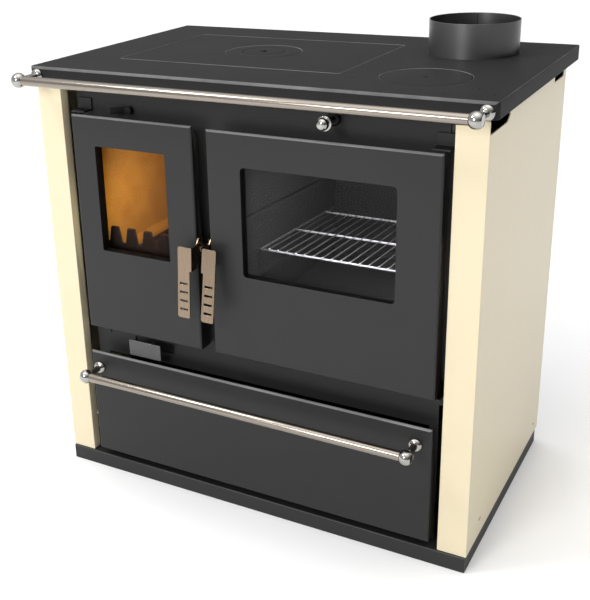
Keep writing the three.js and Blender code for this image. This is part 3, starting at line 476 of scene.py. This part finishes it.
stainless, tree, shader = finish_of("satin_stainless", {"Metallic": 1.0})
belt = node(tree, "Group", node_tree=brushed)
coloured(tree, shader, belt.outputs["Mask"], "857d74", "a0988f")
spread_to(tree, belt.outputs["Mask"], 0.18, 0.24, shader.inputs["Roughness"])
bumped(tree, shader, belt.outputs["Height"], 5e-7)

chrome, tree, shader = finish_of("chrome_plate", {"Metallic": 1.0})
plating = node(tree, "Group", node_tree=grain)
coloured(tree, shader, plating.outputs["Broad Mask"], "9c9a96", "b2b0ac")
spread_to(tree, plating.outputs["Broad Mask"], 0.05, 0.11, shader.inputs["Roughness"])

RAIL_Y, BALL, BALL_FLAT = -50, 12.5, 9
ball_turn = np.linspace(np.pi, np.arccos(BALL_FLAT / BALL), 30)
ball_profile = [(BALL * math.sin(t), BALL * math.cos(t)) for t in ball_turn]
ball_profile += [(7.6, BALL_FLAT), (7.2, 8.6), (0, 8.6)]
foot_profile = [(0, -7.2), (6.4, -7.2), (9.4, -5.4), (11.3, -2.6), (11.5, -0.3), (0, -0.3)]
for rail_name, body, x_end, z, face in (("top_rail", "stove_body", 384, 745, -3),
                                        ("drawer_rail", "drawer", 302.5, 217.5, -9)):
    tube_section = [(6.5, -x_end), (8, -x_end), (8, x_end), (6.5, x_end)]
    tube = turned(rail_name + "_tube", "x", (0, RAIL_Y, z), tube_section, 0.3, 64, closed=True)
    fitted(tube, body, "stainless", stainless, rail_name)
    reach = face - RAIL_Y
    neck_profile = [(0, 0), (6, 0), (5.2, 13), (5.2, reach - 12), (6.2, reach - 5)]
    for side, sign in (("left", -1), ("right", 1)):
        ball_side = [(r, sign * h) for r, h in ball_profile]
        ball = turned("ball", "x", (sign * x_end, RAIL_Y, z), ball_side, 0.15, 48)
        neck = turned("neck", "y", (sign * x_end, RAIL_Y, z), neck_profile, 2, 36)
        foot = turned("foot", "y", (sign * x_end, face, z), foot_profile, 1.2, 48)
        fitting = united(f"{rail_name}_{side}_fitting", [ball, neck, foot])
        fitted(fitting, body, "chrome", chrome, f"{rail_name}_bracket_{side}")

# ---- Firebox ----
# A welded steel box lined with fireclay bricks, with a cast grate, a toothed cast bar behind the door that
# keeps the logs in, and a loose ash pan below.

plain_steel = painted("plain_steel", "3b3b3d", "4a4a4c", "77777a", rough=(0.4, 0.55), depth=2e-5,
                      fine_size=700.0, broad_size=20.0, sockets={"Metallic": 0.6})
cast_brown = painted("cast_brown", "22130a", "2e1c0f", "3a281b", rough=(0.6, 0.8), depth=1.5e-4,
                     fine_size=420.0, broad_size=30.0, sockets={"Specular IOR Level": 0.08})
fire_clay = painted("fire_clay", "945d20", "bb8838", "d09a4a", rough=(0.8, 0.95), depth=3e-4,
                    fine_size=500.0, broad_size=26.0, sockets={"Specular IOR Level": 0.2})
welded("firebox_steel_box", "firebox_shell", 0.5, soot_and_shade_black, "plain_steel")
for side in ("left", "right", "back"):
    welded(f"{side}_clay_lining", f"{side}_firebrick", 2.0, fire_clay, "firebrick")
welded("grate_casting", "fire_grate", 1.2, cast_brown, "cast_brown")
welded("log_retainer_casting", "log_retainer", 0.9, cast_brown, "cast_brown")
welded("ash_pan_tray", "ash_pan", 0.5, plain_steel, "plain_steel")

# ---- Oven ----
# A steel box with three pressed rails on each side and a chromed wire rack on the middle ones. A casing and a
# bridge lead the smoke round it.

oven_black = painted("oven_black", "1c1c1b", "282827", "6a6a68", rough=(0.35, 0.5), depth=2e-5,
                     fine_size=700.0, broad_size=20.0)
# The rack is all one chromed wire. Its thick cross bars and wire tips take a light copy of the finish as a
# painted highlight, and its side frame and thin wires a dark copy as painted shade.
rack_steels = []
for finish_name, low, high in (("rack_chrome_painted_lit", "bcbcbc", "dcdcdc"), ("rack_chrome_painted_shade", "4c4c4c", "666666")):
    finish, tree, shader = finish_of(finish_name, {"Metallic": 0.5})
    drawn = node(tree, "Group", node_tree=grain)
    coloured(tree, shader, drawn.outputs["Fine Mask"], low, high)
    spread_to(tree, drawn.outputs["Fine Mask"], 0.22, 0.32, shader.inputs["Roughness"])
    rack_steels.append(finish)
welded("oven_box", "oven_liner", 0.6, oven_black, "plain_steel")
welded("oven_smoke_casing", "oven_casing", 0.6, plain_steel, "plain_steel")
welded("smoke_bridge", "smoke_baffle", 0.6, plain_steel, "plain_steel")


def wires(name, paths, radius, sides):
    """Round wires: a circle of the radius stands on each path, square to it, as across * cos(turn) plus
    up * sin(turn). Paths are (wire, step, xyz) in millimetres. Across is square to the path and to the z
    axis, and up is square to both the path and across."""
    along = np.gradient(paths, axis=1)
    along /= np.linalg.norm(along, axis=2, keepdims=True)
    across = np.cross(along, [0.0, 0.0, 1.0])
    across /= np.linalg.norm(across, axis=2, keepdims=True)
    up = np.cross(across, along)
    turn = np.linspace(0, 2 * np.pi, sides, endpoint=False)[None, None, :, None]
    ring = across[:, :, None] * np.cos(turn) + up[:, :, None] * np.sin(turn)
    grid = paths[:, :, None] + radius * ring
    rods = [skin(f"{name}_{i}", at(g[..., 0], g[..., 1], g[..., 2]), round_columns=True, caps=True)
            for i, g in enumerate(grid)]
    return united(name, rods)


RAILS_FRONT, RACK_FRONT, MIDDLE_RAIL = 40, 80, 461.5
THICK_WIRE, THIN_WIRE, WIRE_TIP = 1.9, 0.8, 1.1
fall = math.tan(math.radians(3))
rack_height = MIDDLE_RAIL - (RACK_FRONT - RAILS_FRONT) * fall + THICK_WIRE + 0.3


def rack_point(x, y, lift):
    """A place on the rack, which falls three degrees to the back from its front: z = height - y * fall."""
    x, y = np.broadcast_arrays(np.asarray(x, float), np.asarray(y, float))
    return np.stack([x, RACK_FRONT + y, rack_height - y * fall + lift], axis=-1)


side_places = (-11.5, 298.5)
wire_places = np.linspace(*side_places, 20)[1:-1]
rack_bars = np.stack([rack_point(np.linspace(-14, 301, 12), y, 0) for y in (2.5, 132.5, 262.5)])
rack_tips = np.stack([rack_point(x, np.linspace(0.5, 5, 4), 2.4) for x in wire_places])
rack_sides = np.stack([rack_point(x, np.linspace(0, 265, 12), 0) for x in side_places])
rack_wires = np.stack([rack_point(x, np.linspace(4, 264.5, 8), 2.2) for x in wire_places])
bright_sets = [wires("rack_bars", rack_bars, THICK_WIRE, 12), wires("rack_tips", rack_tips, WIRE_TIP, 8)]
dim_sets = [wires("rack_sides", rack_sides, THICK_WIRE, 12), wires("rack_wires", rack_wires, THIN_WIRE, 8)]
for dim in dim_sets:
    dim.data.polygons.foreach_set("material_index", np.ones(len(dim.data.polygons), dtype=np.int32))
rack = united("oven_rack_wires", bright_sets + dim_sets)
fitted(rack, "stove_body", "chrome", rack_steels, "oven_rack")

# ---- Doors ----
# Each door is a folded steel pan with a heat-proof window, pressed in by a flat frame, and a rope seal
# behind. It hangs on two pins. Its slotted handle of brushed steel turns on a pin at the free edge and hooks
# under the striker between the doors.

clear = {"Roughness": 0.02, "Transmission Weight": 1.0, "IOR": 1.12, "Metallic": 0.0}
heat_glass, tree, shader = finish_of("heat_glass", clear)
smoke = node(tree, "Group", node_tree=grain)
smoke.inputs["Broad"].default_value = 7.0
coloured(tree, shader, smoke.outputs["Broad Mask"], "d9d6dc", "f0eef2")

rope_grey, tree, shader = finish_of("rope_grey", {"Roughness": 0.95})
fluff = node(tree, "Group", node_tree=grain)
coloured(tree, shader, fluff.outputs["Fine Mask"], "1c1a18", "302c28")
bumped(tree, shader, fluff.outputs["Height"], 3e-4)

handle_steel, tree, shader = finish_of("warm_brushed_steel", {"Metallic": 1.0})
hand = node(tree, "Group", node_tree=brushed)
hand.inputs["Along"].default_value, hand.inputs["Across"].default_value = 1500.0, 25.0
coloured(tree, shader, hand.outputs["Mask"], "786857", "9f8d7a")
spread_to(tree, hand.outputs["Mask"], 0.24, 0.34, shader.inputs["Roughness"])
bumped(tree, shader, hand.outputs["Height"], 3e-6)

# Its lighter copy, up to 949494, lies on the top folds of the door pans as a painted highlight, partly wear.
door_paint = painted("door_paint", "282828", "2d2d2d", "949494", rough=(0.36, 0.46), depth=1e-5,
                     broad_size=6.0, sockets={"Specular IOR Level": 0.25})


def seal(name, door, body):
    """A rope of three strands round the back of a door, given as its left, right, bottom and top edges. Its
    flattened round section is carried along a rectangle with round corners, and swells by a tenth three times
    round as it twists."""
    inset, corner, rope_y = 13.5, 16.0, 23.0
    half_width, half_depth, step, twist_length = 4.4, 1.7, 2.2, 14
    left, right, bottom, top = np.add(door, (inset, -inset, inset, -inset))
    quarter = np.linspace(0, np.pi / 2, 10)
    corners = [(right - corner, bottom + corner, -np.pi / 2), (right - corner, top - corner, 0),
               (left + corner, top - corner, np.pi / 2), (left + corner, bottom + corner, np.pi)]
    arcs = [(x + corner * np.cos(quarter + a), z + corner * np.sin(quarter + a)) for x, z, a in corners]
    path = np.concatenate([np.stack(arc, axis=1) for arc in arcs])
    loop = np.concatenate([path, path[:1]])
    length = np.concatenate([[0], np.cumsum(np.linalg.norm(np.diff(loop, axis=0), axis=1))])
    whole = length[-1]
    s = np.linspace(0, whole, int(whole / step), endpoint=False)
    px, pz = np.interp(s, length, loop[:, 0]), np.interp(s, length, loop[:, 1])
    dx, dz = np.roll(px, -1) - np.roll(px, 1), np.roll(pz, -1) - np.roll(pz, 1)
    size = np.hypot(dx, dz)
    nx, nz = dz / size, -dx / size
    turn = np.linspace(0, 2 * np.pi, 14, endpoint=False)[None, :]
    twist = 2 * np.pi * round(whole / twist_length) * s[:, None] / whole
    swell = 0.9 + 0.1 * np.cos(3 * turn - twist)
    across, deep = half_width * swell * np.cos(turn), half_depth * swell * np.sin(turn)
    grid = at(px[:, None] + nx[:, None] * across, rope_y + deep, pz[:, None] + nz[:, None] * across)
    rope = skin(name, grid, round_rows=True, round_columns=True)
    fitted(rope, body, "seal_rope", rope_grey, name.replace("_rope", "_seal"))


def rounded_grip(work):
    """The handle's strip filed round: the edges that run through its thickness are swept to a quarter circle,
    3 mm at the outline's corners, and just under half a slot's height at the slots, so that they end round."""
    thickness, outline_corner, slot_corner = 0.0025, 0.003, 0.00188

    def through(edge):
        way = edge.verts[1].co - edge.verts[0].co
        straight = abs(way.y) > 0.97 * way.length
        return straight and abs(way.length - thickness) < 4e-5 and edge.calc_face_angle(0) > 1.2

    for convex, radius in ((True, outline_corner), (False, slot_corner)):
        corners = [edge for edge in work.edges if through(edge) and edge.is_convex == convex]
        bmesh.ops.bevel(work, geom=corners, offset=radius, offset_type="OFFSET", segments=5, profile=0.5,
                        affect="EDGES", clamp_overlap=True)


LATCH_Y, LATCH_Z = 2, 480
latch_profile = [(0, -8), (3, -8), (3, 3.1), (6, 3.1), (6, 4.6), (4.8, 5.5), (0, 5.5)]
for which, out, edges in (("fire", 1, (-316.6, -80.7, 298.3, 686.0)),
                          ("oven", -1, (-55.0, 329.8, 299.3, 683.7))):
    body, cad = f"{which}_door", f"{which}_door_"
    # The pan's returns, round its edges and in its window, take soot and shade black as painted shade, for the
    # shade in the gaps round the door; its top folds take the paint's lighter copy as a painted highlight.
    welded(cad + "pan", cad + "panel", 0.7, door_paint + [soot_and_shade_black], "black_paint", body)
    welded(cad + "pane", cad + "glass", 0.4, heat_glass, "heat_glass", body)
    welded(cad + "pane_frame", cad + "glass_frame", 0.4, soot_and_shade_black, "plain_steel", body)
    seal(cad + "rope", edges, body)
    free_edge = edges[1] if out > 0 else edges[0]
    outwards = [(r, out * h) for r, h in latch_profile]
    latch = turned(cad + "latch_stud", "x", (free_edge, LATCH_Y, LATCH_Z), outwards, 0.4, 32)
    fitted(latch, body, "stainless", stainless, cad + "latch_pin")
    welded(cad + "grip", cad + "handle", 0.45, handle_steel, "stainless", f"{which}_handle",
           filed=rounded_grip)
    for end_name in ("top", "bottom"):
        # The brackets' returns take soot and shade black as painted shade, and their top folds the paint's
        # lighter copy as a painted highlight.
        bracket_paint = black_paint + [soot_and_shade_black]
        welded(f"{cad}{end_name}_bracket", f"{cad}hinge_{end_name}", 0.4, bracket_paint, "black_paint")
welded("latch_catch", "latch_striker", 0.4, stainless, "stainless")

# ---- Drawer ----
# A folded steel front in black paint on a plain steel box. The box slides on two folded runners, which stand
# on the plinth.

# Its lighter copy, up to 8c8c8c, lies on the top fold of the drawer front as a painted highlight, partly wear.
drawer_paint = painted("drawer_paint", "1f1f1f", "242424", "8c8c8c", rough=(0.4, 0.5), depth=1e-5,
                       broad_size=6.0, sockets={"Specular IOR Level": 0.3})
welded("drawer_pan", "drawer_front", 0.7, drawer_paint, "black_paint", "drawer")
welded("drawer_steel_box", "drawer_box", 0.5, plain_steel, "plain_steel", "drawer")
for side in ("left", "right"):
    welded(f"{side}_drawer_runner", f"drawer_runner_{side}", 0.4, plain_steel, "plain_steel")

# ---- Smoke damper ----
# A turned, chromed knob on a steel rod that slides through a blackened rosette on the front plate. It pulls a
# steel plate, which opens the short way to the flue above the oven.

DAMPER_AT = (150, 0, 711.5)
knob_profile = [(0, -26), (3, -25.9), (6.2, -24.6), (6.6, -23.9), (8.6, -21.4), (9.5, -17.5), (9.3, -14),
                (8.6, -12.6), (11.3, -12.2), (11.5, -11), (11.5, -8.4), (10.6, -7.6), (5, -7.4), (5, -6),
                (0, -6)]
knob = turned("damper_turned_knob", "y", DAMPER_AT, knob_profile, 0.8, 64)
fitted(knob, "damper", "chrome", chrome, "damper_knob")
rosette_section = [(4.5, 16), (8.5, 16), (10.4, 17.6), (11, 20), (11, 24.7), (4.5, 24.7)]
rosette = turned("damper_rosette", "y", DAMPER_AT, rosette_section, 1.0, 64, closed=True)
fitted(rosette, "stove_body", "black_paint", soot_and_shade_black, "damper_collar")
rod_profile = [(0, -5.7), (4, -5.7), (4, 194.7), (0, 194.7)]
rod = turned("damper_steel_rod", "y", DAMPER_AT, rod_profile, 0.4, 32)
fitted(rod, "damper", "stainless", stainless, "damper_rod")
welded("damper_steel_plate", "damper_plate", 0.4, plain_steel, "plain_steel", "damper")

# ---- Primary air slide ----
# A bare grey plate that is pushed sideways by hand. It is joined through the front plate's slot to a shutter
# of blackened steel, which runs in a channel behind.

badge_grey = painted("badge_grey", "4c4c4c", "585858", "a0a0a0", rough=(0.35, 0.45), depth=1e-5,
                     fine_size=1200.0, broad_size=30.0, sockets={"Metallic": 0.4})
welded("air_slide_plate", "air_slide_handle", 0.5, badge_grey, "black_paint", "air_slide")
welded("air_slide_shutter", "air_shutter", 0.3, soot_and_shade_black, "plain_steel", "air_slide")
welded("air_slide_guide", "air_slide_channel", 0.3, soot_and_shade_black, "plain_steel")

# ---- Secondary air lever ----
# A small bent arm of blackened steel on a spindle through the front plate. Behind the plate, the spindle turns
# a flap over a small air port.

welded("air_lever_arm", "secondary_air_lever", 0.5, soot_and_shade_black, "black_paint", "secondary_air")
welded("air_lever_flap", "secondary_air_flap", 0.3, plain_steel, "plain_steel", "secondary_air")
